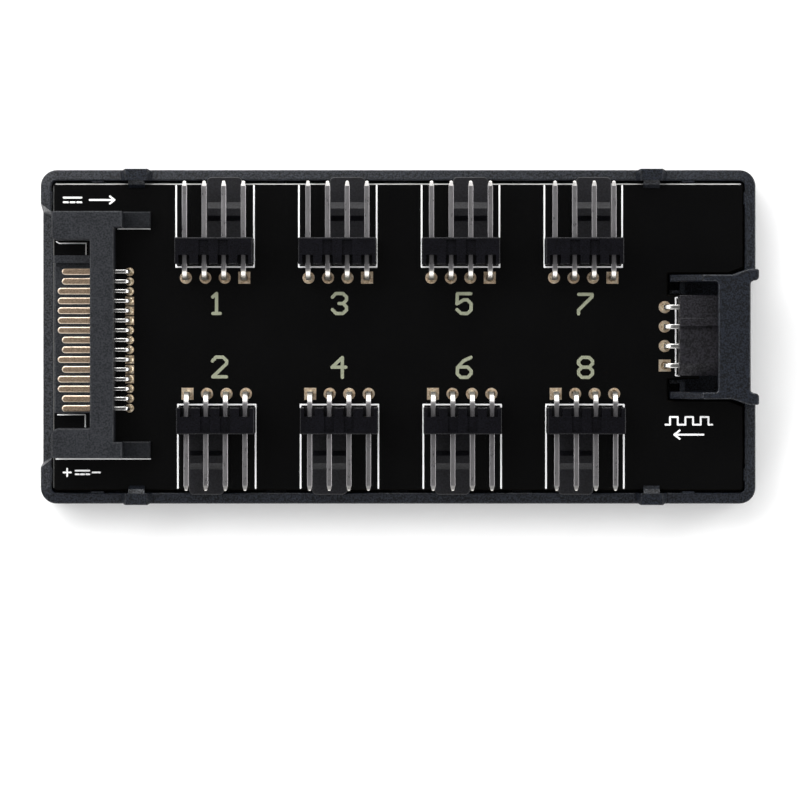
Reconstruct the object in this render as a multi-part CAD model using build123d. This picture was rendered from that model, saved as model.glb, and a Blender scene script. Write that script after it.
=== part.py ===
from build123d import *
import math
import os

# Fan hub: a shallow moulded tray that holds one circuit board by four snap clips.
#
# The board carries eight right-angle four-pin fan headers along its two long edges, a
# fifteen-contact power plug at the left end and a four-way control socket at the right end.
# Frame: origin at the middle of the tray's underside, +X towards the control socket,
# +Y towards the odd-numbered fan headers, +Z up through the board. Millimetres.

# ---------------------------------------------------------------- tray
TRAY_L, TRAY_W = 93.2, 43.5          # outside length and width
TRAY_R = 2.1                         # outside corner radius, seen from above
WALL_Y, WALL_X = 1.40, 1.40          # wall thickness on the long and the short sides
FLOOR_T = 1.20                       # floor thickness
WALL_TOP = 6.00                      # top of the rim
RIM_DROP, RIM_IN = 0.22, 1.20        # the rim's fall to the outside, and how far in it starts
LOW_Y0, LOW_Y1 = -16.50, 16.37       # the low stretch where the power plug goes in, at its foot
LOW_TOP0, LOW_TOP1 = -17.07, 17.42   # and at the rim
LOW_SKEW = 0.78                      # skew of its ends, seen from above
LOW_IN = 45.40                       # inner edge of its sloping top
CLIP_X = (-34.08, 33.0)              # centres of the snap clips
CLIP_TOP, CLIP_OUT = 7.55, 0.12      # top of a clip, and how far it stands out of the wall
HOOK_W, HOOK_OVER = 2.10, 0.60       # hook width, reach over the board
RIB_X = (-39.2, 37.8)                # locating ribs on the long walls
RIB_Y = (-18.0, 18.1)                # locating ribs on the short walls

# ---------------------------------------------------------------- board
PCB_L, PCB_W, PCB_T = 90.0, 40.0, 1.6
PCB_Z0 = 4.20                        # underside of the board
PCB_Z1 = PCB_Z0 + PCB_T              # top of the board
HOLE_FAN, HOLE_PWR = 1.02, 0.72      # finished hole diameters
PLATE = 0.06                         # wall of a plated hole
PAD_T = 0.035                        # pad thickness
PAD_FAN, PAD_PWR = 1.56, 1.12        # pad size

# ---------------------------------------------------------------- fan headers
PITCH = 2.54
PORT_X_TOP = (-23.87, -7.87, 8.13, 24.13)     # ports 1 3 5 7
PORT_X_BOT = (-23.65, -7.65, 8.35, 24.35)     # ports 2 4 6 8
ROW_TOP, ROW_BOT = 7.71, -7.43                # solder rows
WAFER_W, WAFER_H = 10.12, 6.35
WAFER_U0, WAFER_U1 = 1.70, 5.15               # wafer, measured out from the solder row
SLOT_U = 2.90                                 # rear slots reach in to here
SLOT_W = 1.42
PIN = 0.64                                    # square pin
PIN_Z = 4.22                                  # pin axis above the board
PIN_TIP = 12.50                               # pin tip, out from the solder row
PIN_TAIL = 1.55                               # tail below the board
BEND_R = 0.98                                 # inside bend radius
TAB_W, TAB_END = 4.60, 13.08                  # friction lock
TAB_Z0, TAB_Z1 = 0.36, 1.46
BUMP_H = 0.78

# ---------------------------------------------------------------- power plug
SP_X0, SP_X1 = -39.85, -36.80        # back body
SP_Y0, SP_Y1 = -15.71, 16.27
SP_H = 5.80
ARM_X0 = -44.82
ARM_T_Y0, ARM_B_Y1 = 12.52, -11.85
TONGUE_X0 = -44.68
TONGUE_Y0, TONGUE_Y1 = -9.88, 10.57
TONGUE_Z0, TONGUE_Z1 = 1.76, 3.05
KEY_W, KEY_H = 0.99, 1.20
TERM_N, TERM_PITCH, TERM_MID = 15, 1.27, -0.41
TERM_X_TAIL = -35.0
TERM_LONG = (3, 4, 5, 6, 7, 10, 12, 13)
TERM_XL, TERM_XS = -44.20, -43.66
FOOT_X1 = -32.20

# ---------------------------------------------------------------- control socket and its shell
CS_ROW_X, CS_MID_Y = 34.75, 0.07     # solder column
CS_X0, CS_X1 = 36.45, 45.00          # socket block
CS_W = 10.66
CS_NEAR, CS_SLOPE, CS_ZN = 5.11, 3.55, 3.45   # near face, start of the near slope, height where it ends
CS_ZC, CS_ZA, CS_ZB = 4.10, 4.66, 4.90   # floor of the lock channel, shoulder, key rib, above the board
CS_AXIS = 2.10                       # contact axis above the board
CHEEK_IN, CHEEK_OUT = 7.14, 8.05
CHEEK_X0, CHEEK_X1 = 35.42, 39.35
EAR_Y, EAR_IN = 8.78, 7.28
ROOF_X0, ROOF_X1 = 41.30, 45.51
ROOF_Z0, ROOF_Z1 = 11.50, 12.53
CHEEK_LOW = 7.60                     # where the cheeks' sloping tops start
NOTCH_X = 39.2                       # the board stops here under the socket
MOUTH_Z, MOUTH_X = 3.60, 45.95       # sill under the socket: height and outer face
SLOT_X0 = 35.15                      # board slots beside the socket
TONGUE_HALF = 5.50
TIE_X0, TIE_X1, TIE_Z = 36.75, 37.42, 5.20   # ribs from the cheeks to the board's tongue

HX, HY = TRAY_L / 2, TRAY_W / 2
IX, IY = HX - WALL_X, HY - WALL_Y
os.makedirs("parts", exist_ok=True)


def block(x0, x1, y0, y1, z0, z1):
    return Pos((x0 + x1) / 2, (y0 + y1) / 2, (z0 + z1) / 2) * Box(x1 - x0, y1 - y0, z1 - z0)


def prism(points, z0, z1):
    """Plan outline, raised from z0 to z1."""
    return Pos(0, 0, z0) * extrude(make_face(Polyline(*points, close=True)), z1 - z0)


def prism_yz(points, x0, x1):
    """Outline in the YZ plane, run from x0 to x1."""
    f = make_face(Polyline(*[(x0, y, z) for y, z in points], close=True))
    return extrude(f, x1 - x0, dir=(1, 0, 0))


def prism_xz(points, y0, y1):
    f = make_face(Polyline(*[(x, y0, z) for x, z in points], close=True))
    return extrude(f, y1 - y0, dir=(0, 1, 0))


def soften(shape, edges, size, kind=fillet):
    """Rounds edges, and leaves them sharp if the kernel can't."""
    edges = list(edges)
    for s in (size, size * 0.6, size * 0.35):
        try:
            out = kind(edges, s)
            if out.is_valid and out.volume > 0:
                return out
        except Exception:
            pass
    print("left sharp:", len(edges), "edges at", size)
    return shape


def save(name, shape):
    solids = shape.solids() if hasattr(shape, "solids") else [shape]
    out = solids[0] if len(solids) == 1 else Compound(children=list(solids))
    export_step(out, f"parts/{name}.step")
    print(f"{name}: {len(solids)} solid(s), {sum(s.volume for s in solids):.2f} mm3")


# ================================================================ tray
# One moulding in the real thing. It is kept as five nodes that meet face to face (floor, walls,
# board rests, snap clips, control bridge), so that the space under the board stays open.
foot_face = RectangleRounded(TRAY_L, TRAY_W, TRAY_R)
floor = extrude(foot_face, FLOOR_T)
floor = soften(floor, [e for e in floor.edges() if all(abs((e @ t).Z) < 1e-6 for t in (0, 0.5, 1))], 0.45, chamfer)
floor -= block(MOUTH_X, HX + 1, -EAR_IN, EAR_IN, -1, FLOOR_T + 1)
fall = RIM_DROP / RIM_IN
wedge = prism_xz([(-LOW_IN, FLOOR_T), (-LOW_IN, FLOOR_T + 1), (-HX - 1, FLOOR_T + 1), (-HX - 1, FLOOR_T - fall * (HX + 1 - LOW_IN))], -HY, HY)
wedge &= prism([(-HX - 1, LOW_Y0 - LOW_SKEW), (-LOW_IN, LOW_Y0 + LOW_SKEW * (HX - LOW_IN)), (-LOW_IN, LOW_Y1 - LOW_SKEW * (HX - LOW_IN)), (-HX - 1, LOW_Y1 + LOW_SKEW)], 0, FLOOR_T + 2)
floor -= wedge
save("tray_floor", floor)


# walls: the rim falls away a little to the outside
def on_outside(e):
    p = [e @ t for t in (0.0, 0.5, 1.0)]
    def gap(q):
        dx, dy = abs(q.X) - (HX - TRAY_R), abs(q.Y) - (HY - TRAY_R)
        if dx > 0 and dy > 0:
            return abs(math.hypot(dx, dy) - TRAY_R)
        return min(abs(abs(q.X) - HX), abs(abs(q.Y) - HY))
    return all(gap(q) < 1e-3 for q in p)


rim_z = WALL_TOP - RIM_DROP
walls = Pos(0, 0, FLOOR_T) * extrude(foot_face, rim_z - FLOOR_T)
walls += loft([(Pos(0, 0, rim_z) * foot_face).face(), (Pos(0, 0, WALL_TOP) * RectangleRounded(TRAY_L - 2 * RIM_IN, TRAY_W - 2 * RIM_IN, TRAY_R - RIM_IN)).face()])
walls = soften(walls, [e for e in walls.edges() if on_outside(e) and all(abs((e @ t).Z - rim_z) < 1e-3 for t in (0, 0.5, 1))], 0.20)
walls -= extrude(RectangleRounded(2 * IX, 2 * IY, 0.7), WALL_TOP + 1)
inner = [e for e in walls.edges() if all(abs((e @ t).Z - WALL_TOP) < 1e-3 for t in (0, 0.5, 1)) and all(abs((e @ t).X) < IX + 0.01 and abs((e @ t).Y) < IY + 0.01 for t in (0, 0.5, 1))]
walls = soften(walls, inner, 0.10, chamfer)
# the low stretch at the power plug runs down to the floor, between two leaning and slightly skewed ends
X_OUT, X_IN = -HX - 1.4, -IX + 0.3
for foot_y, top_y in ((LOW_Y1, LOW_TOP1), (LOW_Y0, LOW_TOP0)):
    sgn = 1 if foot_y > 0 else -1
    rise = (top_y - foot_y) / (WALL_TOP - FLOOR_T) * (12 - FLOOR_T)
    ya, yb = foot_y - sgn * LOW_SKEW * (X_IN + HX), foot_y - sgn * LOW_SKEW * (X_OUT + HX)
    quad = [Polyline((X_OUT, 0, z), (X_IN, 0, z), (X_IN, ya + d, z), (X_OUT, yb + d, z), close=True) for z, d in ((FLOOR_T, 0.0), (12.0, rise))]
    walls -= loft([make_face(q) for q in quad], ruled=True)

# locating ribs, a little proud of the inner walls
for px in RIB_X:
    for sy in (-1, 1):
        walls += prism([(px - 0.95, sy * (IY + 0.3)), (px - 0.80, sy * (IY - 0.2)), (px + 0.80, sy * (IY - 0.2)), (px + 0.95, sy * (IY + 0.3))], FLOOR_T, WALL_TOP - 0.14)
for py in RIB_Y:
    for sx in (-1, 1):
        walls += prism([(sx * (IX + 0.3), py - 0.95), (sx * (IX - 0.14), py - 0.80), (sx * (IX - 0.14), py + 0.80), (sx * (IX + 0.3), py + 0.95)], FLOOR_T, WALL_TOP - 0.14)

# board rests, standing on the floor
rests = [Pos(px, py, (FLOOR_T + PCB_Z0) / 2) * Cylinder(2.0, PCB_Z0 - FLOOR_T) for px, py in ((-28.5, 0.0), (0.25, 0.0), (28.0, 0.0))]
for sx in (-1, 1):
    for sy in (-1, 1):
        rests.append(block(*sorted((sx * (IX - 0.75), sx * (IX - 2.6))), *sorted((sy * (IY - 0.75), sy * (IY - 2.2))), FLOOR_T, PCB_Z0))
for px in (-15.9, 0.15, 16.2):
    for sy in (-1, 1):
        rests.append(block(px - 1.2, px + 1.2, *sorted((sy * IY, sy * (IY - 1.5))), FLOOR_T, PCB_Z0))
save("board_rests", Compound(children=[s for r in rests for s in r.solids()]))

# snap clips: a raised boss in the rim with a hook over the board edge
clips = []
for cx in CLIP_X:
    for sy in (-1, 1):
        boss = prism_xz([(cx - 2.05, WALL_TOP - 0.6), (cx - 2.05, WALL_TOP - 0.05), (cx - 1.42, CLIP_TOP), (cx + 1.42, CLIP_TOP), (cx + 2.05, WALL_TOP - 0.05), (cx + 2.05, WALL_TOP - 0.6)],
                        *sorted((sy * IY, sy * (HY + CLIP_OUT))))
        boss &= prism([(cx + sx * u, sy * v) for sx, row in ((-1, (0, 1, 2, 3)), (1, (3, 2, 1, 0))) for u, v in [((2.05, IY), (2.05, HY - 0.30), (1.72, HY - 0.02), (1.46, HY + CLIP_OUT))[i] for i in row]], 0, CLIP_TOP + 1)
        top = [e for e in boss.edges() if all(abs((e @ t).Z - CLIP_TOP) < 1e-3 for t in (0, 1))]
        boss = soften(boss, top, 0.22)
        tip = PCB_W / 2 - HOOK_OVER
        hook = prism_yz([(sy * (IY + 0.3), PCB_Z1 + 0.06), (sy * tip, PCB_Z1 + 0.06), (sy * tip, PCB_Z1 + 0.32), (sy * (tip + 0.42), CLIP_TOP - 0.72),
                         (sy * (IY + 0.02), CLIP_TOP - 0.42), (sy * (IY + 0.3), CLIP_TOP - 0.42)], cx - HOOK_W / 2, cx + HOOK_W / 2)
        clips.append(boss + hook)
        walls -= boss
save("snap_clips", Compound(children=[s for c in clips for s in c.solids()]))

# control bridge: two cheeks that rise through the board, a roof between them and the sill under the socket
plan = [(CHEEK_X0, CHEEK_IN), (CHEEK_X0, CHEEK_OUT), (43.2, CHEEK_OUT), (45.25, EAR_Y), (HX, EAR_Y), (HX, EAR_IN), (ROOF_X1, EAR_IN),
        (ROOF_X1, -EAR_IN), (HX, -EAR_IN), (HX, -EAR_Y), (45.25, -EAR_Y), (43.2, -CHEEK_OUT), (CHEEK_X0, -CHEEK_OUT), (CHEEK_X0, -CHEEK_IN),
        (ROOF_X0, -CHEEK_IN), (ROOF_X0, CHEEK_IN)]
roof_face = make_face(Polyline(*plan, close=True))
def corner(x, y):
    return [v for v in roof_face.vertices() if abs(v.X - x) < 1e-4 and abs(v.Y - y) < 1e-4]
for x, y, r in [(ROOF_X0, CHEEK_IN, 0.35), (ROOF_X0, -CHEEK_IN, 0.35), (HX, EAR_Y, 0.32), (HX, -EAR_Y, 0.26), (HX, EAR_IN, 0.56), (HX, -EAR_IN, 0.56),
                (ROOF_X1, EAR_IN, 0.50), (ROOF_X1, -EAR_IN, 0.50), (43.2, CHEEK_OUT, 1.2), (43.2, -CHEEK_OUT, 1.2), (45.25, EAR_Y, 0.6), (45.25, -EAR_Y, 0.6)]:
    try:
        roof_face = fillet(corner(x, y), r)
    except Exception:
        print("plan corner left sharp:", x, y)
bridge = Pos(0, 0, FLOOR_T) * extrude(roof_face, ROOF_Z1 - FLOOR_T)
bridge -= block(CHEEK_X0 - 1, HX + 1, -CHEEK_IN, CHEEK_IN, 0, ROOF_Z0)
# the cheeks fall away towards the board's middle
bridge -= prism_xz([(CHEEK_X1, ROOF_Z1 + 0.01), (CHEEK_X0 - 1, ROOF_Z1 + 0.01), (CHEEK_X0 - 1, CHEEK_LOW - 1.2), (CHEEK_X0, CHEEK_LOW), (CHEEK_X1, ROOF_Z1)], -12, 12)
top = [e for e in bridge.edges() if all(abs((e @ t).Z - ROOF_Z1) < 1e-3 for t in (0, 0.5, 1)) and e.center().X > CHEEK_X1 + 0.01]
def on_slope(e):
    run = (ROOF_Z1 - CHEEK_LOW) / (CHEEK_X1 - CHEEK_X0)
    return all(abs((e @ t).Z - CHEEK_LOW - run * ((e @ t).X - CHEEK_X0)) < 1e-3 for t in (0, 0.5, 1)) and abs((e % 0.5).Y) < 0.1
bridge = soften(bridge, top, 0.22)
bridge = soften(bridge, [e for e in bridge.edges() if on_slope(e) and e.length > 2.0], 0.20)
for sy in (-1, 1):
    bridge += block(TIE_X0, TIE_X1, *sorted((sy * (TONGUE_HALF + 0.12), sy * (CHEEK_IN + 0.2))), FLOOR_T, TIE_Z)
    bridge += block(CHEEK_X0, TIE_X0 + 0.1, *sorted((sy * (TONGUE_HALF + 0.12), sy * (TONGUE_HALF + 0.58))), FLOOR_T, TIE_Z - 0.4)
bridge += block(IX, MOUTH_X, -CHEEK_IN - 0.1, CHEEK_IN + 0.1, FLOOR_T, MOUTH_Z)
for sy in (-1, 1):                    # a small gusset where the rim meets each ear
    bridge += prism_yz([(sy * (EAR_Y - 0.2), WALL_TOP - 0.7), (sy * (EAR_Y + 0.34), WALL_TOP - 0.7), (sy * (EAR_Y + 0.34), WALL_TOP - 0.02), (sy * (EAR_Y - 0.2), WALL_TOP + 1.1)], IX + 0.05, HX - 0.30)
walls -= block(IX - 0.5, HX + 1, -EAR_Y, EAR_Y, FLOOR_T - 1, WALL_TOP + 1)
walls -= bridge
save("control_bridge", bridge)
save("tray_walls", walls)

# ================================================================ circuit board
pcb = extrude(RectangleRounded(PCB_L, PCB_W, 0.45), PCB_T)
for sy in (-1, 1):
    pcb -= block(NOTCH_X, PCB_L / 2 + 1, -TONGUE_HALF - 0.1, TONGUE_HALF + 0.1, -1, PCB_T + 1)
    pcb -= prism([(SLOT_X0, sy * TONGUE_HALF), (PCB_L / 2 + 1, sy * TONGUE_HALF), (PCB_L / 2 + 1, sy * 9.45), (PCB_L / 2, sy * 9.02), (43.05, sy * 8.27), (SLOT_X0, sy * 8.27)], -1, PCB_T + 1)
edge = [e for e in pcb.edges() if all(abs((e @ t).Z - PCB_T) < 1e-6 for t in (0, 0.5, 1))]
pcb = soften(pcb, edge, 0.16, chamfer)
edge = [e for e in pcb.edges() if all(abs((e @ t).Z) < 1e-6 for t in (0, 0.5, 1))]
pcb = soften(pcb, edge, 0.12, chamfer)
pcb = Pos(0, 0, PCB_Z0) * pcb

fan_ports = {}
for i, x in enumerate(PORT_X_TOP):
    fan_ports[2 * i + 1] = (x, ROW_TOP, 1)
for i, x in enumerate(PORT_X_BOT):
    fan_ports[2 * i + 2] = (x, ROW_BOT, -1)

# pin one sits on the square pad: at the right in the upper row, at the left in the lower row
holes = []                            # (x, y, finished diameter, pad size, square)
for n, (x, y, s) in fan_ports.items():
    for k in range(4):
        holes.append((x + s * (1.5 - k) * PITCH, y, HOLE_FAN, PAD_FAN, k == 0))
control_y = [CS_MID_Y + (k - 1.5) * PITCH for k in range(4)]
for k, y in enumerate(control_y):
    holes.append((CS_ROW_X, y, HOLE_FAN, PAD_FAN, k == 0))
term_y = {k: TERM_MID + (8 - k) * TERM_PITCH for k in range(1, TERM_N + 1)}
for k, y in term_y.items():
    holes.append((TERM_X_TAIL, y, HOLE_PWR, PAD_PWR, k in (4, 5, 6, 10, 11, 12)))

PEGS = [(-34.1, 15.2), (-34.1, -14.7)]
drill = [Pos(x, y, PCB_Z0 + PCB_T / 2) * Cylinder(d / 2 + PLATE, PCB_T + 2) for x, y, d, p, sq in holes]
drill += [Pos(x, y, PCB_Z0 + PCB_T / 2) * Cylinder(0.80, PCB_T + 2) for x, y in PEGS]
pcb = pcb - drill
save("circuit_board", pcb)

# ================================================================ plated pads and holes
pads = []
for x, y, d, p, sq in holes:
    flange = Box(p, p, PAD_T) if sq else Cylinder(p / 2, PAD_T)
    pad = Pos(0, 0, PCB_T / 2 + PAD_T / 2) * flange + Pos(0, 0, -PCB_T / 2 - PAD_T / 2) * flange
    pad += Cylinder(d / 2 + PLATE, PCB_T)
    pad -= Cylinder(d / 2, PCB_T + 1)
    pads.append(Pos(x, y, PCB_Z0 + PCB_T / 2) * pad)
save("plated_pads", Compound(children=[s for p in pads for s in p.solids()]))


# ================================================================ bent square pins
def bent_pin(tip, axis_z, size, r_in, tail, taper=0.66, width=None, edge=0.055, kind=chamfer):
    """A pin in the UZ plane: leg down at u=0, bend, then out along +u to the tip. Returned with v along Y."""
    h = size / 2
    w = width or size
    zt, zb = axis_z + h, axis_z - h
    z_end = -PCB_T - tail
    ro = r_in + size
    cu, cz = h + r_in, zb - r_in
    a = math.sqrt(0.5)
    with BuildPart() as bp:
        with BuildSketch(Plane.XZ):
            with BuildLine():
                l1 = Polyline((h, cz), (h, z_end + 0.35), (h * 0.55, z_end), (-h * 0.55, z_end), (-h, z_end + 0.35), (-h, cz))
                ThreePointArc((-h, cz), (cu - ro * a, cz + ro * a), (cu, zt))
                Polyline((cu, zt), (tip - taper, zt), (tip - taper * 0.18, axis_z + h * 0.62), (tip, axis_z + h * 0.30), (tip, axis_z - h * 0.30),
                         (tip - taper * 0.18, axis_z - h * 0.62), (tip - taper, zb), (cu, zb))
                ThreePointArc((cu, zb), (cu - r_in * a, cz + r_in * a), (h, cz))
            make_face()
        extrude(amount=w / 2, both=True)
    p = bp.part
    hw = w / 2
    for s in (-1, 1):                # the sides close in at the tip as the top and bottom do
        cut = [(tip - taper, s * hw), (tip - taper * 0.18, s * hw * 0.62), (tip + 0.001, s * hw * 0.30), (tip + 1, s * hw * 0.30), (tip + 1, s * (hw + 1)), (tip - taper, s * (hw + 1))]
        p = p - prism(cut, axis_z - 2, axis_z + 2)
    if edge:
        runs = [e for e in p.edges() if abs(abs((e @ 0.5).Y) - hw) < 1e-4 and abs(abs((e @ 0).Y) - hw) < 1e-4 and abs(abs((e @ 1).Y) - hw) < 1e-4
                and (e @ 0.5).X < tip - taper - 0.01 and (e @ 0.5).Z > z_end + 0.36]
        p = soften(p, runs, edge, kind)
    return p


FAN_PIN = bent_pin(PIN_TIP, PIN_Z, PIN, BEND_R, PIN_TAIL)


def fan_wafer():
    """Right-angle header body in its own frame: u along +X out of the board, v along Y, z up. Pin one is at v = -1.5 pitch."""
    w = block(WAFER_U0, WAFER_U1, -WAFER_W / 2, WAFER_W / 2, 0, WAFER_H)
    top = [e for e in w.edges() if all(abs((e @ t).Z - WAFER_H) < 1e-6 for t in (0, 1))]
    w = soften(w, top, 0.16)
    side = [e for e in w.edges() if abs((e % 0.5).Z) > 0.99]
    w = soften(w, side, 0.15)
    for k in range(4):
        v = (k - 1.5) * PITCH
        w -= block(WAFER_U0 - 1, SLOT_U, v - SLOT_W / 2, v + SLOT_W / 2, 2.2, WAFER_H + 1)
        w -= block(WAFER_U0 - 1, WAFER_U1 + 1, v - PIN / 2, v + PIN / 2, PIN_Z - PIN / 2, PIN_Z + PIN / 2)
    for k in (1, 2):                  # moulded reliefs over the two middle ways
        v = (k - 1.5) * PITCH
        w -= block(SLOT_U - 0.4, WAFER_U1 - 0.32, v - 0.635, v + 0.635, WAFER_H - 0.28, WAFER_H + 1)
    for v in (-PITCH, 0, PITCH):      # drain notches under the body
        w -= block(WAFER_U0 - 1, WAFER_U1 + 1, v - 0.45, v + 0.45, -1, 0.30)
    vt = -0.5 * PITCH                 # the lock stands under pins one to three
    tab = prism([(WAFER_U1 - 0.8, vt - TAB_W / 2), (TAB_END, vt - TAB_W / 2), (TAB_END, vt + TAB_W / 2), (WAFER_U1 - 0.8, vt + TAB_W / 2)], TAB_Z0, TAB_Z1)
    ends = [e for e in tab.edges() if abs((e % 0.5).Z) > 0.99 and e.center().X > TAB_END - 0.01]
    tab = soften(tab, ends, 0.62)
    rim = [e for e in tab.edges() if all(abs((e @ t).Z - TAB_Z1) < 1e-6 for t in (0, 0.5, 1)) and e.center().X > WAFER_U1]
    tab = soften(tab, rim, 0.13)
    bump = prism_xz([(7.36, TAB_Z1 - 0.3), (7.36, TAB_Z1), (8.02, TAB_Z1 + BUMP_H), (9.00, TAB_Z1 + BUMP_H), (9.82, TAB_Z1), (9.82, TAB_Z1 - 0.3)], vt - TAB_W / 2 + 0.13, vt + TAB_W / 2 - 0.13)
    crest = [e for e in bump.edges() if all(abs((e @ t).Z - TAB_Z1 - BUMP_H) < 1e-6 for t in (0, 1)) and abs((e % 0.5).Y) > 0.9]
    bump = soften(bump, crest, 0.10)
    return w + tab + bump


WAFER = fan_wafer()

solder = []


def solder_joint(x, y, d, leg_u, leg_v, tail, reach, top=0.0):
    """Fillet under the board and fill inside the hole, around a leg of leg_u by leg_v. top is the height of a fillet on the upper pad."""
    r = d / 2
    fill = Pos(0, 0, -PCB_T - PAD_T + (reach + PAD_T) / 2) * Cylinder(r, reach + PAD_T)
    cone = Pos(0, 0, -PCB_T - PAD_T - 0.5) * Cone(max(leg_u, leg_v) * 0.62, r + 0.20, 1.0)
    j = fill + cone
    if top:
        j += Pos(0, 0, PAD_T + top / 2) * Cone(PAD_PWR / 2 - 0.06, max(leg_u, leg_v) * 0.62, top)
    j -= Box(leg_u, leg_v, 20)
    return Pos(x, y, PCB_Z1) * j


def merged(parts):
    return Compound(children=[s for p in parts for s in p.solids()])


for n, (x, y, s) in fan_ports.items():
    turn = 90 if s > 0 else -90
    place = Pos(x, y, PCB_Z1) * Rot(0, 0, turn)
    save(f"fan_header_{n}", place * WAFER)
    pins = [place * (Pos(0, (k - 1.5) * PITCH, 0) * FAN_PIN) for k in range(4)]
    save(f"fan_pins_{n}", merged(pins))
    for k in range(4):
        solder.append(solder_joint(x + s * (1.5 - k) * PITCH, y, HOLE_FAN, PIN, PIN, PIN_TAIL, (1.60, 1.30, 1.56, 1.12)[(k * 5 + n * 3) % 4]))

# ================================================================ control socket
cs = block(CS_X0, CS_X1, -CS_W / 2, CS_W / 2, 0, CS_ZC)
cs += block(CS_X0, CS_X1, CS_W / 2 - 3.0, CS_W / 2, CS_ZC - 0.2, CS_ZA)       # shoulder over way four
cs += block(CS_X0, CS_X1, CS_W / 2 - 3.0 - 1.02, CS_W / 2 - 3.0, CS_ZC - 0.2, CS_ZB)   # key rib
cs -= prism_yz([(-CS_SLOPE, CS_ZC), (-CS_SLOPE, CS_ZC + 1), (-CS_W, CS_ZC + 1), (-CS_W, -1), (-CS_NEAR, -1), (-CS_NEAR, CS_ZN)], CS_X0 - 1, CS_X1 + 1)   # near side
long_edges = [e for e in cs.edges() if abs((e % 0.5).X) > 0.99 and e.center().Z > CS_ZC + 0.1]
cs = soften(cs, long_edges, 0.12, chamfer)
back = [e for e in cs.edges() if abs((e % 0.5).Y) > 0.9 and e.center().X < CS_X0 + 0.01 and e.center().Z > CS_ZC - 0.1]
cs = soften(cs, back, 0.14, chamfer)
contacts = []
CT_OUT, CT_IN, CT_LEN = 1.20, 0.84, 5.6
for k in range(4):
    v = (k - 1.5) * PITCH
    cs -= block(CS_X0 + 1.9, CS_X1 + 1, v - CT_OUT / 2, v + CT_OUT / 2, CS_AXIS - CT_OUT / 2, CS_AXIS + CT_OUT / 2)
    cs -= block(CS_X0 - 1, CS_X0 + 2.5, v - PIN / 2, v + PIN / 2, CS_AXIS - 0.20, CS_AXIS + 0.20)
    mouth = Pos(CS_X1 - 0.2, v, CS_AXIS) * Rot(0, 90, 0) * extrude(Rectangle(CT_OUT, CT_OUT), 0.4, taper=-35)
    cs -= mouth
cs = Pos(0, CS_MID_Y, PCB_Z1) * cs
save("control_socket", cs)

# each contact: a square sleeve inside the block and a flat tail that bends into its hole
for k in range(4):
    v = (k - 1.5) * PITCH
    sleeve = block(CS_X0 + 1.9, CS_X0 + 1.9 + CT_LEN, v - CT_OUT / 2, v + CT_OUT / 2, CS_AXIS - CT_OUT / 2, CS_AXIS + CT_OUT / 2)
    sleeve -= block(CS_X0 + 2.5, CS_X1 + 1, v - CT_IN / 2, v + CT_IN / 2, CS_AXIS - CT_IN / 2, CS_AXIS + CT_IN / 2)
    tail = Pos(CS_ROW_X, v, 0) * bent_pin(CS_X0 + 2.2 - CS_ROW_X, CS_AXIS, 0.40, 0.72, 1.35, taper=0.02, width=PIN, edge=0.14, kind=fillet)
    contacts.append(sleeve + tail)
contacts = [Pos(0, CS_MID_Y, PCB_Z1) * c for c in contacts]
save("control_contacts", merged(contacts))
for k, y in enumerate(control_y):
    solder.append(solder_joint(CS_ROW_X, y, HOLE_FAN, 0.40, PIN, 1.35, (1.30, 1.60, 1.58, 1.60)[k]))

# ================================================================ power plug housing
def power_plug():
    """Back body, two guide arms and two heels in one plan outline, with the keyed tongue between the arms."""
    heel_x, heel_t, heel_b = -35.73, 14.15, -13.62
    pts = [(ARM_X0, SP_Y1), (ARM_X0, ARM_T_Y0), (SP_X0, ARM_T_Y0), (SP_X0, ARM_B_Y1), (ARM_X0, ARM_B_Y1), (ARM_X0, SP_Y0), (heel_x, SP_Y0), (heel_x, heel_b),
           (SP_X1, heel_b), (SP_X1, heel_t), (heel_x, heel_t), (heel_x, SP_Y1)]
    f = make_face(Polyline(*pts, close=True))
    for x, y, r in [(ARM_X0, ARM_T_Y0, 0.60), (ARM_X0, ARM_B_Y1, 0.85), (ARM_X0, SP_Y1, 0.30), (ARM_X0, SP_Y0, 0.45), (SP_X0, ARM_T_Y0, 0.20), (SP_X0, ARM_B_Y1, 0.20)]:
        f = fillet([v for v in f.vertices() if abs(v.X - x) < 1e-4 and abs(v.Y - y) < 1e-4], r)
    b = extrude(f, SP_H)
    top = [e for e in b.edges() if all(abs((e @ t).Z - SP_H) < 1e-4 for t in (0, 0.5, 1))]
    b = soften(b, top, 0.16, chamfer)
    for y0, y1 in ((heel_t, SP_Y1), (SP_Y0, heel_b)):
        low = block(heel_x - 0.3, FOOT_X1, y0, y1, 0, 2.1)
        edges = [e for e in low.edges() if all(abs((e @ t).Z - 2.1) < 1e-4 for t in (0, 1)) and e.center().X > heel_x]
        b += soften(low, edges, 0.14, chamfer)
    tongue = block(TONGUE_X0, SP_X0 + 0.1, TONGUE_Y0, TONGUE_Y1, TONGUE_Z0, TONGUE_Z1)
    tongue += block(TONGUE_X0, SP_X0 + 0.1, TONGUE_Y1 - KEY_W, TONGUE_Y1, TONGUE_Z0, TONGUE_Z1 + KEY_H)
    nose = [e for e in tongue.edges() if abs((e % 0.5).Y) > 0.99 and e.center().X < TONGUE_X0 + 0.01]
    b += soften(tongue, nose, 0.22, chamfer)
    for x, y in PEGS:                # pegs through the board
        b += Pos(x, y, -0.9) * Cylinder(0.75, 2.0)
    for k, y in term_y.items():      # the tails leave by slots, a comb along the back
        b -= block(SP_X1 - 0.42, SP_X1 + 0.5, y - 0.36, y + 0.36, -0.5, TONGUE_Z1 + 0.55)
    return b


TERM_T = 0.30
TERM_W, TAIL_W = 0.92, 0.50
TERM_Z1 = TONGUE_Z1 + 0.11            # contact face, a little proud of the tongue


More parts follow.
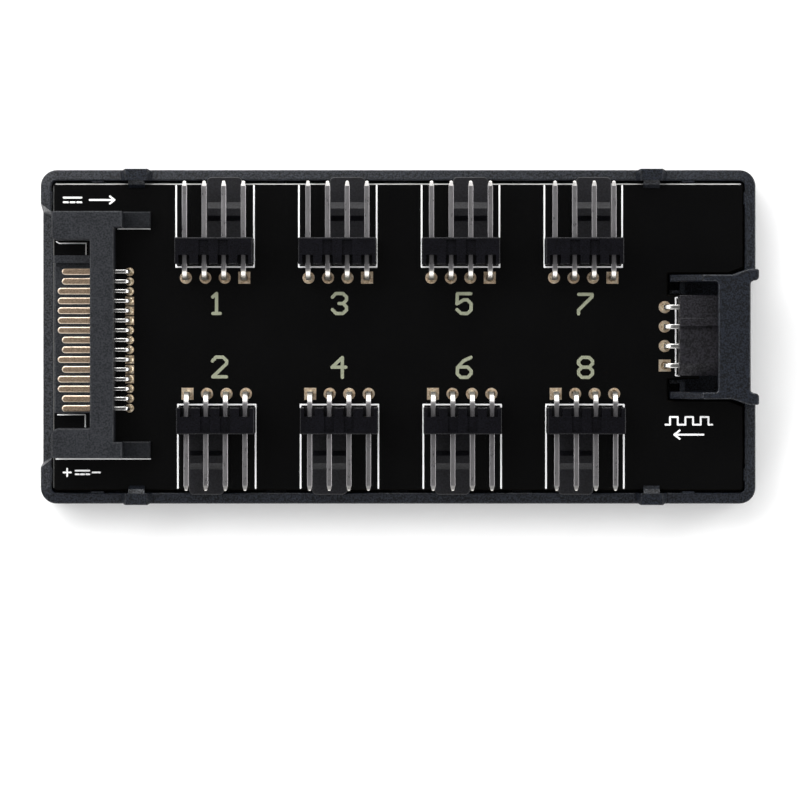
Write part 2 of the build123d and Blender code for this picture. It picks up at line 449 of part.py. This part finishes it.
def terminal(x_tip, tail):
    """A stamped contact: a blade with a rounded nose on the tongue, then a narrow tail bent down into its hole."""
    zt, zb = TERM_Z1, TERM_Z1 - TERM_T
    nose = x_tip + TERM_W / 2
    blade = block(nose, SP_X0 + 1.0, -TERM_W / 2, TERM_W / 2, zb, zt)
    blade += Pos(nose, 0, (zt + zb) / 2) * Cylinder(TERM_W / 2, TERM_T)
    rim = [e for e in blade.edges() if all(abs((e @ t).Z - zt) < 1e-6 for t in (0, 0.5, 1)) and e.center().X < SP_X0 + 0.9]
    blade = soften(blade, rim, 0.20)
    return blade + Pos(TERM_X_TAIL, 0, 0) * tail


# the tail: a strip that runs out of the body, then a leg that bends down
tail = Rot(0, 0, 180) * bent_pin(TERM_X_TAIL - SP_X0 - 0.6, TERM_Z1 - TERM_T / 2, TERM_T, 0.45, 1.2, taper=0.02, width=TAIL_W, edge=0.11, kind=fillet)
long_term, short_term = terminal(TERM_XL, tail), terminal(TERM_XS, tail)
terms = [Pos(0, y, 0) * (long_term if k in TERM_LONG else short_term) for k, y in term_y.items()]
plug = power_plug() - terms
save("power_plug_housing", Pos(0, 0, PCB_Z1) * max(plug.solids(), key=lambda q: q.volume))
save("power_terminals", merged([Pos(0, 0, PCB_Z1) * t for t in terms]))
for k, y in term_y.items():
    solder.append(solder_joint(TERM_X_TAIL, y, HOLE_PWR, TERM_T, TAIL_W, 1.2, PCB_T + PAD_T, 0.13))

save("solder_joints", merged(solder))
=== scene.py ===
import math
import bpy
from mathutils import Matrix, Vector, geometry


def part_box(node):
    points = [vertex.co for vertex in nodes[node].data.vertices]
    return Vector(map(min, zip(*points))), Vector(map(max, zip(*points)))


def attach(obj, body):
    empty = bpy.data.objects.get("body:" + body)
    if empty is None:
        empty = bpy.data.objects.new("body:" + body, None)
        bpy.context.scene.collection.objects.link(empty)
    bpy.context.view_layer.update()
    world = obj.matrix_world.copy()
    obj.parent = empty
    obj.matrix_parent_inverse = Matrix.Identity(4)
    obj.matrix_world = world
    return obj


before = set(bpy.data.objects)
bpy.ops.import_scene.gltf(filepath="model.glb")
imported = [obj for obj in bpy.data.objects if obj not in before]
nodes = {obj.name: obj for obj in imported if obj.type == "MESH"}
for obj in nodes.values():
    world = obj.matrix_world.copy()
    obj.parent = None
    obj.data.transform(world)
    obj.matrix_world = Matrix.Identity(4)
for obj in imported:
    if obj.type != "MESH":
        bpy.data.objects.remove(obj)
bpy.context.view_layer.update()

# The fan hub's looks: finishes for every moulding, board, pin and contact, and the board's
# printed outlines, plain port numbers and plain symbols as thin raised ink.
MM = 0.001
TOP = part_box("circuit_board")[1].z / MM          # top of the board, in mm
scene = bpy.context.scene


# ------------------------------------------------------------------ node helpers
class Graph:
    """A small builder for one material's node tree."""

    def __init__(self, name):
        self.mat = bpy.data.materials.new(name)
        self.mat.use_nodes = True
        self.nt = self.mat.node_tree
        self.nt.nodes.clear()
        self.out = self.new("ShaderNodeOutputMaterial")
        self.bsdf = self.new("ShaderNodeBsdfPrincipled")
        self.link(self.bsdf.outputs["BSDF"], self.out.inputs["Surface"])
        self.coord = self.new("ShaderNodeTexCoord").outputs["Object"]

    def new(self, kind, **props):
        n = self.nt.nodes.new(kind)
        for k, v in props.items():
            setattr(n, k, v)
        return n

    def link(self, a, b):
        self.nt.links.new(a, b)

    def scaled(self, sx, sy, sz):
        """Object coordinates stretched along the axes."""
        m = self.new("ShaderNodeMapping")
        m.inputs["Scale"].default_value = (sx, sy, sz)
        self.link(self.coord, m.inputs["Vector"])
        return m.outputs["Vector"]

    def noise(self, scale, detail=2.0, rough=0.5, vector=None, dist=0.0):
        n = self.new("ShaderNodeTexNoise")
        n.inputs["Scale"].default_value = scale
        n.inputs["Detail"].default_value = detail
        n.inputs["Roughness"].default_value = rough
        n.inputs["Distortion"].default_value = dist
        self.link(vector or self.coord, n.inputs["Vector"])
        return n.outputs["Fac"]

    def voronoi(self, scale, feature="F1", vector=None):
        n = self.new("ShaderNodeTexVoronoi", feature=feature)
        n.inputs["Scale"].default_value = scale
        self.link(vector or self.coord, n.inputs["Vector"])
        return n.outputs["Distance"]

    def ramp(self, fac, stops):
        r = self.new("ShaderNodeValToRGB")
        el = r.color_ramp.elements
        while len(el) > 1:
            el.remove(el[-1])
        el[0].position = stops[0][0]
        el[0].color = (*stops[0][1], 1.0)
        for p, c in stops[1:]:
            e = el.new(p)
            e.color = (*c, 1.0)
        self.link(fac, r.inputs["Fac"])
        return r.outputs["Color"]

    def span(self, fac, lo, hi, a=0.0, b=1.0):
        m = self.new("ShaderNodeMapRange")
        m.inputs["From Min"].default_value = a
        m.inputs["From Max"].default_value = b
        m.inputs["To Min"].default_value = lo
        m.inputs["To Max"].default_value = hi
        self.link(fac, m.inputs["Value"])
        return m.outputs["Result"]

    def math(self, op, a, b=None, clamp=False):
        m = self.new("ShaderNodeMath", operation=op, use_clamp=clamp)
        for i, v in enumerate((a, b)):
            if v is None:
                continue
            if isinstance(v, (int, float)):
                m.inputs[i].default_value = v
            else:
                self.link(v, m.inputs[i])
        return m.outputs["Value"]

    def mix(self, fac, a, b):
        m = self.new("ShaderNodeMix", data_type="RGBA")
        self.link(fac, m.inputs["Factor"])
        for sock, v in ((m.inputs[6], a), (m.inputs[7], b)):
            if isinstance(v, tuple):
                sock.default_value = (*v, 1.0)
            else:
                self.link(v, sock)
        return m.outputs[2]

    def bump(self, height, strength, distance, normal=None):
        b = self.new("ShaderNodeBump")
        b.inputs["Strength"].default_value = strength
        b.inputs["Distance"].default_value = distance
        self.link(height, b.inputs["Height"])
        if normal is not None:
            self.link(normal, b.inputs["Normal"])
        return b.outputs["Normal"]

    def facing(self, direction, lo, hi):
        """1 where the true surface faces the direction (a world axis), 0 where it doesn't."""
        g = self.new("ShaderNodeNewGeometry")
        v = self.new("ShaderNodeVectorMath", operation="DOT_PRODUCT")
        self.link(g.outputs["True Normal"], v.inputs[0])
        v.inputs[1].default_value = direction
        return self.span(v.outputs["Value"], 0.0, 1.0, lo, hi)

    def along(self, axis, lo_mm, hi_mm):
        """0 below lo, 1 above hi, along one axis of the frame."""
        x = self.new("ShaderNodeSeparateXYZ")
        self.link(self.coord, x.inputs["Vector"])
        return self.span(x.outputs[axis], 0.0, 1.0, lo_mm * MM, hi_mm * MM)

    def blend(self, fac, a, b):
        """A number that goes from a to b."""
        return self.span(fac, a, b)

    def set(self, name, value):
        s = self.bsdf.inputs[name]
        if isinstance(value, (int, float)):
            s.default_value = value
        elif isinstance(value, tuple):
            s.default_value = (*value, 1.0)
        else:
            self.link(value, s)


def moulded(name, dark, light, rough, grain, bump, spread=0.2, spec=0.5, cloud_share=0.14, low=None, speckle=0.12, upright=1.0):
    """Moulded plastic with a spark-eroded grain: pits a fraction of a millimetre across, flecks and a soft cloud of
    tone.
    low = (height_mm, tone, rough, spec): what lies below that height takes that roughness and gloss, with its colour
    scaled by the tone: darker on the power plug's low feet, lighter on the fan headers' low parts.
    upright: the share of the gloss that upright faces keep."""
    g = Graph(name)
    fine = g.noise(grain, 0.6, 0.5)
    coarse = g.noise(grain * 0.52, 1.0, 0.5)
    cloud = g.noise(420.0, 3.0, 0.6)
    both = g.math("ADD", g.math("MULTIPLY", fine, 0.72), g.math("MULTIPLY", coarse, 0.28))
    tone = g.math("ADD", g.math("MULTIPLY", both, 1.0 - cloud_share), g.math("MULTIPLY", cloud, cloud_share))
    colour = g.ramp(tone, [(0.41, dark), (0.50, tuple((a + b) / 2 for a, b in zip(dark, light))), (0.59, light)])
    r = g.span(both, rough + spread / 2, rough - spread / 2, 0.35, 0.65)
    if low:
        h, k, r_low, s_low = low
        up = g.along("Z", TOP + h - 0.05, TOP + h + 0.05)
        dim = g.ramp(tone, [(0.38, tuple(c * k for c in dark)), (0.62, tuple(c * k for c in light))])
        colour = g.mix(up, dim, colour)
        r = g.math("ADD", r, g.span(up, r_low - rough, 0.0))
        shine = g.span(up, s_low, spec)
    else:
        shine = spec
    fleck = g.math("MULTIPLY", g.span(both, 1.0 - speckle, 1.0 + speckle, 0.36, 0.64), g.span(g.facing((0.0, 0.0, 1.0), 0.15, 0.45), upright, 1.0))
    g.set("Specular IOR Level", g.math("MULTIPLY", fleck, shine))
    g.set("Base Color", colour)
    g.set("Roughness", r)
    g.set("Normal", g.bump(both, bump, 0.00006))
    return g.mat


def drawn_metal(name, dull, bright, along, rough=(0.24, 0.40), bump=0.10, bend_highlight=None):
    """Plated wire or strip: fine lines drawn along one axis, with duller patches. The bend colour is a painted
    highlight, put on faces turned along Y, on the bends that turn down from the flat top and on the tip faces.
    """
    g = Graph(name)
    s = {"x": (500.0, 9000.0, 9000.0), "y": (9000.0, 500.0, 9000.0)}[along]
    lines = g.noise(1.0, 3.0, 0.6, vector=g.scaled(*s))
    patch = g.noise(900.0, 3.0, 0.55)
    tone = g.math("ADD", g.math("MULTIPLY", lines, 0.55), g.math("MULTIPLY", patch, 0.45))
    colour = g.ramp(tone, [(0.34, dull), (0.66, bright)])
    if bend_highlight:
        # painted highlight: a pale colour on faces turned towards +Y or -Y, the bends and tip faces
        bend_highlight_mask = g.math("MAXIMUM", g.facing((0.0, 1.0, 0.0), 0.16, 0.34), g.facing((0.0, -1.0, 0.0), 0.16, 0.34))
        colour = g.mix(bend_highlight_mask, colour, bend_highlight)
    g.set("Base Color", colour)
    g.set("Metallic", 1.0)
    g.set("Roughness", g.span(tone, rough[1], rough[0], 0.35, 0.65))
    g.set("Normal", g.bump(lines, bump, 0.00002))
    return g.mat


# ------------------------------------------------------------------ finishes
TRAY = moulded("tray_plastic", (0.0001, 0.0006, 0.0016), (0.0080, 0.0106, 0.0172), 0.40, 5000.0, 0.9, 0.16, 0.34, 0.08, None, 0.34)
PLUG = moulded("plug_plastic", (0.0034, 0.0044, 0.0066), (0.0160, 0.0174, 0.0212), 0.50, 4300.0, 0.5, 0.15, 0.28, 0.30, (2.6, 0.70, 0.40, 0.24), 0.16)
HEADER = moulded("header_plastic", (0.0016, 0.0015, 0.0022), (0.0040, 0.0039, 0.0056), 0.26, 4600.0, 0.06, 0.1, 0.19, 0.3, (5.0, 1.45, 0.40, 0.38), 0.12, 0.15)
SOCKET = moulded("socket_plastic", (0.0010, 0.0009, 0.0018), (0.0132, 0.0123, 0.0164), 0.44, 4600.0, 0.60, 0.15, 0.30, 0.2, None, 0.28)
# the pale bend colour is a painted highlight on the pin bends
PIN_Y = drawn_metal("tinned_pin", (0.33, 0.32, 0.33), (0.50, 0.485, 0.50), "y", bend_highlight=(0.93, 0.90, 0.84))
PIN_X = drawn_metal("tinned_tail", (0.64, 0.63, 0.61), (0.84, 0.83, 0.81), "x", (0.20, 0.30), 0.05)


def power_contact():
    """Stamped contacts: gold flash, a little grainy, on the blades, with a painted highlight in pale gold along their
    rounded rims, and bright tin on the tails behind the body.
    """
    g = Graph("contact_gold")
    grain = g.noise(5200.0, 3.0, 0.6)
    lines = g.noise(1.0, 3.0, 0.6, vector=g.scaled(700.0, 9000.0, 9000.0))
    tone = g.math("ADD", g.math("MULTIPLY", grain, 0.6), g.math("MULTIPLY", lines, 0.4))
    face = g.ramp(tone, [(0.38, (0.27, 0.196, 0.136)), (0.62, (0.66, 0.486, 0.348))])
    # painted highlight: where the blade's surface turns away from straight up, on its rounded rims, the colour is pale
    gold_with_rim_highlight = g.mix(g.facing((0.0, 0.0, 1.0), 0.70, 0.96), (0.92, 0.84, 0.72), face)
    tin = g.ramp(lines, [(0.35, (0.60, 0.59, 0.58)), (0.65, (0.78, 0.77, 0.76))])
    tail = g.along("X", -38.2, -38.0)
    g.set("Base Color", g.mix(tail, gold_with_rim_highlight, tin))
    g.set("Metallic", 1.0)
    g.set("Roughness", g.math("ADD", g.span(tone, 0.42, 0.28, 0.35, 0.65), g.span(tail, 0.0, -0.20)))
    g.set("Normal", g.bump(tone, 0.14, 0.00002))
    return g.mat


CONTACT = power_contact()


def board_finish():
    """Black solder mask with the weave of the glass cloth just showing, and a painted highlight: pale glass colour on
    the chamfer along the far long edge, with a faint share of it on the left end's chamfer.
    """
    g = Graph("board_mask")
    wave = []
    for axis in ("X", "Y"):
        w = g.new("ShaderNodeTexWave", bands_direction=axis, wave_profile="SIN")
        w.inputs["Scale"].default_value = 620.0
        w.inputs["Distortion"].default_value = 0.6
        g.link(g.coord, w.inputs["Vector"])
        wave.append(w.outputs["Fac"])
    weave = g.math("MULTIPLY", wave[0], wave[1])
    dust = g.noise(5200.0, 2.0, 0.6)
    mask = g.ramp(g.noise(140.0, 3.0, 0.5), [(0.3, (0.0007, 0.0007, 0.0008)), (0.7, (0.0012, 0.0012, 0.0013))])
    # painted highlight: a pale colour on the far edge's chamfer, and faintly on the left end's, standing in for the
    # light these chamfers catch
    edge_highlight_colour = g.ramp(g.noise(1.0, 4.0, 0.7, vector=g.scaled(520.0, 9000.0, 9000.0)), [(0.30, (0.20, 0.20, 0.19)), (0.52, (0.46, 0.46, 0.45)), (0.74, (0.70, 0.70, 0.69))])
    far_edge_highlight = g.math("MULTIPLY", g.facing((0.0, 0.7071, 0.7071), 0.955, 0.985), g.along("Y", 19.0, 19.2))
    left_edge_highlight = g.math("MULTIPLY", g.facing((-0.7071, 0.0, 0.7071), 0.955, 0.985), g.span(g.along("X", -44.6, -44.4), 0.16, 0.0))
    painted_edge_highlight = g.math("MAXIMUM", far_edge_highlight, left_edge_highlight)
    routed = g.facing((0.0, 0.0, 1.0), 0.80, 0.30)
    side = g.ramp(g.noise(1.0, 3.0, 0.6, vector=g.scaled(900.0, 900.0, 7000.0)), [(0.35, (0.010, 0.009, 0.008)), (0.65, (0.030, 0.027, 0.022))])
    under = g.facing((0.0, 0.0, -1.0), 0.5, 0.9)
    edge = g.math("SUBTRACT", routed, under, clamp=True)
    g.set("Base Color", g.mix(painted_edge_highlight, g.mix(edge, mask, side), edge_highlight_colour))
    r0 = g.math("ADD", g.span(dust, 0.17, 0.23, 0.35, 0.65), g.math("MULTIPLY", g.math("MAXIMUM", painted_edge_highlight, edge), 0.4))
    g.set("Roughness", r0)
    g.set("Specular IOR Level", g.span(g.facing((0.0, 0.0, 1.0), 0.80, 0.95), 0.0, 0.27))
    g.set("Normal", g.bump(weave, 0.03, 0.00002, g.bump(dust, 0.008, 0.00002)))
    return g.mat


def gold_pad():
    """Thin gold on copper: a warm brown-gold, uneven where flux has dulled it."""
    g = Graph("gold_plate")
    blot = g.noise(3000.0, 2.0, 0.6)
    fine = g.noise(12000.0, 2.0, 0.5)
    g.set("Base Color", g.ramp(blot, [(0.36, (0.50, 0.37, 0.25)), (0.50, (0.80, 0.62, 0.44)), (0.64, (0.97, 0.84, 0.66))]))
    g.set("Metallic", 1.0)
    g.set("Roughness", g.span(blot, 0.48, 0.30, 0.3, 0.7))
    g.set("Normal", g.bump(blot, 0.30, 0.00004, g.bump(fine, 0.15, 0.00001)))
    return g.mat


def solder():
    g = Graph("solder")
    blot = g.noise(3200.0, 2.0, 0.6)
    g.set("Base Color", g.ramp(blot, [(0.38, (0.26, 0.20, 0.13)), (0.50, (0.52, 0.42, 0.28)), (0.62, (0.80, 0.70, 0.54))]))
    g.set("Metallic", 1.0)
    g.set("Roughness", g.span(blot, 0.62, 0.46, 0.3, 0.7))
    g.set("Normal", g.bump(g.noise(4200.0, 2.0, 0.6), 0.35, 0.00004))
    return g.mat


def ink(name, thin, full, rough=0.5):
    """Screen-printed ink: a little thin in places, with the mesh's tooth."""
    g = Graph(name)
    tooth = g.noise(7000.0, 3.0, 0.6)
    patch = g.noise(900.0, 2.0, 0.5)
    tone = g.math("ADD", g.math("MULTIPLY", tooth, 0.6), g.math("MULTIPLY", patch, 0.4))
    g.set("Base Color", g.ramp(tone, [(0.32, thin), (0.55, full)]))
    g.set("Roughness", g.span(tooth, rough - 0.08, rough + 0.12, 0.3, 0.7))
    g.set("Normal", g.bump(tooth, 0.2, 0.00001))
    return g.mat


BOARD = board_finish()
PADS = gold_pad()
SOLDER = solder()
WHITE = ink("white_ink", (0.90, 0.90, 0.90), (0.97, 0.97, 0.97))
OLIVE = ink("port_ink", (0.186, 0.198, 0.138), (0.262, 0.278, 0.194), 0.55)

finish = {"tray_floor": TRAY, "tray_walls": TRAY, "board_rests": TRAY, "snap_clips": TRAY, "control_bridge": TRAY, "circuit_board": BOARD, "plated_pads": PADS, "solder_joints": SOLDER, "power_plug_housing": PLUG, "power_terminals": CONTACT,
          "control_socket": SOCKET, "control_contacts": PIN_X}
for n in range(1, 9):
    finish[f"fan_header_{n}"] = HEADER
    finish[f"fan_pins_{n}"] = PIN_Y
for name, ob in nodes.items():
    m = finish[name]
    if not ob.material_slots:
        ob.data.materials.append(m)
    for s in ob.material_slots:
        s.material = m


# ------------------------------------------------------------------ printed lines as thin raised ink
def capsule(a, b, w, n=9):
    """The outline of one stroke from a to b with round ends."""
    a, b = Vector(a), Vector(b)
    d = b - a
    t = math.atan2(d.y, d.x)
    r = w / 2
    pts = []
    for i in range(n + 1):
        q = t + math.pi / 2 + math.pi * i / n
        pts.append((a.x + r * math.cos(q), a.y + r * math.sin(q)))
    for i in range(n + 1):
        q = t - math.pi / 2 + math.pi * i / n
        pts.append((b.x + r * math.cos(q), b.y + r * math.sin(q)))
    return pts


def flat_ink(name, outlines, material, z0=-0.004, z1=0.018):
    """One closed raised print from overlapping outlines in mm, merged in plan so that no face lies inside another."""
    verts, faces = [], []
    for o in outlines:
        faces.append(list(range(len(verts), len(verts) + len(o))))
        verts += [Vector(p) for p in o]
    v, e, f, ov, oe, of_ = geometry.delaunay_2d_cdt(verts, [], faces, 1, 1e-5)
    keep = [t for t, src in zip(f, of_) if src]
    used = sorted({i for t in keep for i in t})
    remap = {i: k for k, i in enumerate(used)}
    n = len(used)
    co = [(v[i].x * MM, v[i].y * MM, (TOP + z1) * MM) for i in used] + [(v[i].x * MM, v[i].y * MM, (TOP + z0) * MM) for i in used]
    tris, count = [], {}
    for t in keep:
        t = [remap[i] for i in t]
        area = sum(co[t[k]][0] * co[t[(k + 1) % 3]][1] - co[t[(k + 1) % 3]][0] * co[t[k]][1] for k in range(3))
        if area < 0:
            t.reverse()
        tris.append(t)
        for k in range(3):
            count[(t[k], t[(k + 1) % 3])] = True
    sides = [(a, b) for a, b in count if (b, a) not in count]
    polys = tris + [[n + i for i in reversed(t)] for t in tris] + [[b, a, n + a, n + b] for a, b in sides]
    me = bpy.data.meshes.new(name)
    me.from_pydata(co, [], polys)
    me.validate()
    me.materials.append(material)
    ob = bpy.data.objects.new(name, me)
    scene.collection.objects.link(ob)
    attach(ob, "root")
    return ob


def strokes(paths, w):
    """Capsules for every stretch of every path. A path is a list of points, and closes if its last point is its first."""
    return [capsule(p[i], p[i + 1], w) for p in paths for i in range(len(p) - 1)]


# outlines round the fan headers, open at the board's edge
lines = []
HALF = 5.07
for n in range(1, 9):
    lo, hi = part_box(f"fan_pins_{n}")
    cx = (lo.x + hi.x) / 2 / MM
    s = 1 if n % 2 else -1
    row = lo.y / MM + 0.32 if s > 0 else hi.y / MM - 0.32
    far = s * 19.72
    lines += strokes([[(cx - HALF, far), (cx - HALF, row + s * 1.40), (cx + HALF, row + s * 1.40), (cx + HALF, far)]], 0.21)
flat_ink("header_outlines", lines, WHITE)

# outline of the power plug, where it shows beside the housing and in its two slots
plug = strokes([
    [(-44.55, 12.42), (-44.20, 12.20), (-40.70, 12.20), (-40.70, 10.75)],
    [(-44.40, -10.15), (-40.80, -10.15), (-40.80, -11.75)],
    [(-36.55, 14.07), (-32.32, 14.07)],
    [(-44.60, -15.92), (-32.32, -15.92)],
], 0.15)
flat_ink("plug_outline", plug, WHITE)

# bracket behind the control socket
flat_ink("socket_outline", strokes([[(36.66, 5.12), (36.18, 5.12), (36.18, -5.06), (36.66, -5.06)]], 0.18), WHITE)

# plain port numbers, drawn with one round pen
DIGITS = {
    1: [[(-0.50, 0.85), (0.0, 1.30), (0.0, -1.30)], [(-0.48, -1.30), (0.48, -1.30)]],
    2: [[(-0.92, 0.78), (-0.46, 1.29), (0.45, 1.29), (0.93, 0.80), (0.93, 0.45), (-0.88, -1.28), (0.90, -1.28)]],
    3: [[(-0.92, 0.82), (-0.46, 1.30), (0.46, 1.30), (0.91, 0.85), (0.91, 0.45), (0.48, 0.0), (0.91, -0.45), (0.91, -0.85), (0.45, -1.30), (-0.45, -1.30), (-0.92, -0.80)], [(0.48, 0.0), (-0.06, 0.0)]],
    4: [[(0.42, -1.30), (0.42, 1.28), (-0.92, 0.02), (0.86, 0.02)]],
    5: [[(0.87, 1.28), (-0.87, 1.28), (-0.92, -0.05), (-0.05, 0.47), (0.45, 0.47), (0.92, -0.02), (0.92, -0.84), (0.45, -1.30), (-0.37, -1.30), (-0.92, -0.80)]],
    6: [[(0.90, 1.30), (-0.05, 0.87), (-0.85, -0.02), (-0.88, -0.84), (-0.42, -1.30), (0.45, -1.30), (0.92, -0.82), (0.92, -0.45), (0.45, 0.05), (-0.75, 0.05)]],
    7: [[(-0.85, 1.24), (0.89, 1.24), (0.89, 0.95), (-0.88, -0.80), (-0.88, -1.30)]],
    8: [[(-0.45, 1.30), (0.45, 1.30), (0.90, 0.86), (0.90, 0.46), (0.46, 0.02), (-0.46, 0.02), (-0.90, 0.46), (-0.90, 0.86), (-0.45, 1.30)],
        [(-0.46, 0.02), (-0.90, -0.42), (-0.90, -0.86), (-0.45, -1.30), (0.45, -1.30), (0.90, -0.86), (0.90, -0.42), (0.46, 0.02)]],
}
AT = {1: (-23.68, 4.35), 3: (-7.65, 4.35), 5: (8.59, 4.35), 7: (24.40, 4.30), 2: (-23.29, -3.93), 4: (-7.70, -3.98), 6: (8.59, -3.98), 8: (24.43, -3.98)}
for n, (x, y) in AT.items():
    flat_ink(f"port_number_{n}", strokes([[(x + px, y + py) for px, py in p] for p in DIGITS[n]], 0.43), OLIVE)


# plain symbols: direct current at the power plug, plus and minus below it, and a pulse train with an arrow at the control socket
def shifted(paths, x, y, k=1.0):
    return [[(x + px * k, y + py * k) for px, py in p] for p in paths]


DC = [[(-1.15, 0.30), (1.15, 0.30)], [(-1.15, -0.30), (-0.62, -0.30)], [(-0.27, -0.30), (0.27, -0.30)], [(0.62, -0.30), (1.15, -0.30)]]
PLUS = [[(-0.48, 0.0), (0.48, 0.0)], [(0.0, -0.48), (0.0, 0.48)]]
MINUS = [[(-0.48, 0.0), (0.48, 0.0)]]
ARROW = [[(-1.9, 0.0), (1.9, 0.0)], [(1.2, 0.55), (1.9, 0.0), (1.2, -0.55)]]
PULSE = [[(-2.9, -0.5), (-2.3, -0.5), (-2.3, 0.5), (-1.3, 0.5), (-1.3, -0.5), (-0.3, -0.5), (-0.3, 0.5), (0.7, 0.5), (0.7, -0.5), (1.7, -0.5), (1.7, 0.5), (2.7, 0.5), (2.7, -0.5), (3.2, -0.5)]]
flat_ink("power_symbol", strokes(shifted(DC, -42.45, 17.85) + shifted(ARROW, -38.60, 17.85, 0.85), 0.24), WHITE)
flat_ink("polarity_symbol", strokes(shifted(PLUS, -43.15, -17.68) + shifted(DC, -41.15, -17.68, 0.78) + shifted(MINUS, -39.35, -17.68), 0.23), WHITE)
flat_ink("control_symbol", strokes(shifted(PULSE, 37.75, -10.95, 1.0) + shifted([[(-x, y) for x, y in p] for p in ARROW], 37.9, -12.75, 1.0), 0.24), WHITE)

# ------------------------------------------------------------------ floor, light and camera
# the floor lies a hair below the part and is open under its middle, so that the underside can be looked at
me = bpy.data.meshes.new("floor")
F = 3.0
hx, hy, fz = 0.0440, 0.0192, -0.00006
me.from_pydata([(-F, -F, fz), (F, -F, fz), (F, F, fz), (-F, F, fz), (-hx, -hy, fz), (hx, -hy, fz), (hx, hy, fz), (-hx, hy, fz)], [],
               [(0, 1, 5, 4), (1, 2, 6, 5), (2, 3, 7, 6), (3, 0, 4, 7)])
floor = bpy.data.objects.new("floor", me)
scene.collection.objects.link(floor)
g = Graph("floor_white")
g.set("Base Color", g.ramp(g.noise(6.0, 2.0, 0.5), [(0.3, (0.93, 0.93, 0.93)), (0.7, (0.95, 0.95, 0.95))]))
g.set("Roughness", 0.9)
g.set("Specular IOR Level", 0.0)
me.materials.append(g.mat)


def softbox(name, at, aim, size_x, size_y, radiance, colour=(1.0, 1.0, 1.0)):
    d = bpy.data.lights.new(name, "AREA")
    d.shape = "RECTANGLE"
    d.size, d.size_y = size_x, size_y
    d.energy = radiance * math.pi * size_x * size_y
    d.color = colour
    o = bpy.data.objects.new(name, d)
    o.location = at
    o.rotation_euler = (Vector(aim) - Vector(at)).to_track_quat("-Z", "Y").to_euler()
    o.visible_camera = False
    scene.collection.objects.link(o)
    return o


softbox("box_far", (-0.34, 0.46, 0.62), (0, 0, 0), 0.95, 0.50, 3.4)
softbox("box_near", (0.0, -0.58, 0.38), (0, 0, 0), 1.2, 0.36, 1.15)
softbox("box_left", (-0.46, 0.20, 0.60), (0, 0, 0), 0.6, 0.34, 1.9)
softbox("box_right", (0.80, 0.08, 0.37), (0.03, 0, 0), 1.0, 0.56, 3.1)
softbox("strip_far", (-0.05, 0.20, 0.090), (0, 0, 0.004), 0.30, 0.07, 5.0)
softbox("strip_left", (-0.24, 0.0, 0.080), (-0.04, 0, 0.006), 0.10, 0.06, 3.2)

world = bpy.data.worlds.new("studio")
scene.world = world
world.use_nodes = True
wn = world.node_tree
wn.nodes.clear()
wo = wn.nodes.new("ShaderNodeOutputWorld")
bg = wn.nodes.new("ShaderNodeBackground")
tc = wn.nodes.new("ShaderNodeTexCoord")
sep = wn.nodes.new("ShaderNodeSeparateXYZ")
cr = wn.nodes.new("ShaderNodeValToRGB")
wn.links.new(tc.outputs["Generated"], sep.inputs["Vector"])
wn.links.new(sep.outputs["Z"], cr.inputs["Fac"])
stops = [(0.0, 1.0), (0.30, 0.95), (0.72, 0.55), (0.93, 0.22), (1.0, 0.10)]
el = cr.color_ramp.elements
el[0].position, el[0].color = stops[0][0], (stops[0][1],) * 3 + (1.0,)
el[1].position, el[1].color = stops[-1][0], (stops[-1][1],) * 3 + (1.0,)
for p, v in stops[1:-1]:
    e = el.new(p)
    e.color = (v, v, v, 1.0)
wn.links.new(cr.outputs["Color"], bg.inputs["Color"])
bg.inputs["Strength"].default_value = 1.0
wn.links.new(bg.outputs["Background"], wo.inputs["Surface"])

scene.view_settings.view_transform = "Standard"
scene.view_settings.look = "None"

DIST = 650.0                                     # camera above the board, mm
PX_PER_MM = 7.67                                 # at the board, in the 800-pixel frame
cam_d = bpy.data.cameras.new("camera")
cam_d.sensor_fit = "HORIZONTAL"
cam_d.sensor_width = 36.0
cam_d.lens = 36.0 * DIST * PX_PER_MM / 800.0
cam_d.shift_x = (400.0 - 398.15) / 800.0
cam_d.shift_y = (336.85 - 400.0) / 800.0
cam_d.clip_start, cam_d.clip_end = 0.01, 20.0
cam = bpy.data.objects.new("camera", cam_d)
cam.location = (0.0, 0.0, (TOP + DIST) * MM)
cam.rotation_euler = (0.0, 0.0, 0.0)
scene.collection.objects.link(cam)
scene.camera = cam
